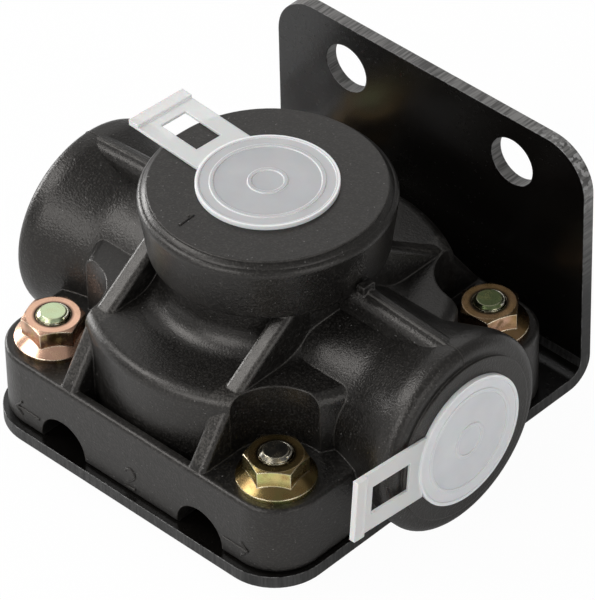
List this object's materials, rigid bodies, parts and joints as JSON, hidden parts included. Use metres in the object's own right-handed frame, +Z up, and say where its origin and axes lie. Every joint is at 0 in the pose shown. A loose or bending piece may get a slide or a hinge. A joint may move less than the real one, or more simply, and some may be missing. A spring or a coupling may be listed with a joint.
{
  "type": "quick release valve",
  "caption": "Air brake quick release valve: ribbed nylon housing with drum-shaped supply port and two flared delivery ports, on a steel angle bracket, ports plugged.",
  "frame": {"origin": "middle of the outline, on the plane of the four bolt heads that it stands on", "axes": "+X along the right delivery port, +Y from the vented front towards the bracket's leg, +Z up the supply port"},
  "size_m": [0.1024, 0.086, 0.0594],
  "materials": {
    "housing_nylon": "satin moulded",
    "cover_nylon": "satin moulded",
    "seal_rubber": "matt",
    "diaphragm_rubber": "matt",
    "stainless": "turned",
    "spring_steel": "drawn wire",
    "black_paint": "satin powder coat",
    "chromate_zinc": "yellow chromate on zinc",
    "plug_polythene": "translucent white"
  },
  "bodies": {
    "valve": {"housing": "housing_nylon", "exhaust_cover": "cover_nylon", "cover_seal": "seal_rubber", "return_spring": "spring_steel", "mounting_bracket": "black_paint", "supply_plug": "plug_polythene", "delivery_plug_right": "plug_polythene", "delivery_plug_left": "plug_polythene", "bolt_front_left": "chromate_zinc", "nut_front_left": "chromate_zinc", "bolt_front_right": "chromate_zinc", "nut_front_right": "chromate_zinc", "bolt_back_right": "chromate_zinc", "nut_back_right": "chromate_zinc", "bolt_back_left": "chromate_zinc", "nut_back_left": "chromate_zinc"},
    "shuttle": {"diaphragm": "diaphragm_rubber", "spring_seat": "stainless"}
  },
  "joints": [
    {"name": "diaphragm_travel", "type": "slide", "parent": "valve", "child": "shuttle", "axis": [0, 0, -1], "range_m": [0, 0.0017], "stiffness_N_per_m": 300, "springref_m": -0.004, "deforming": ["return_spring"]}
  ]
}
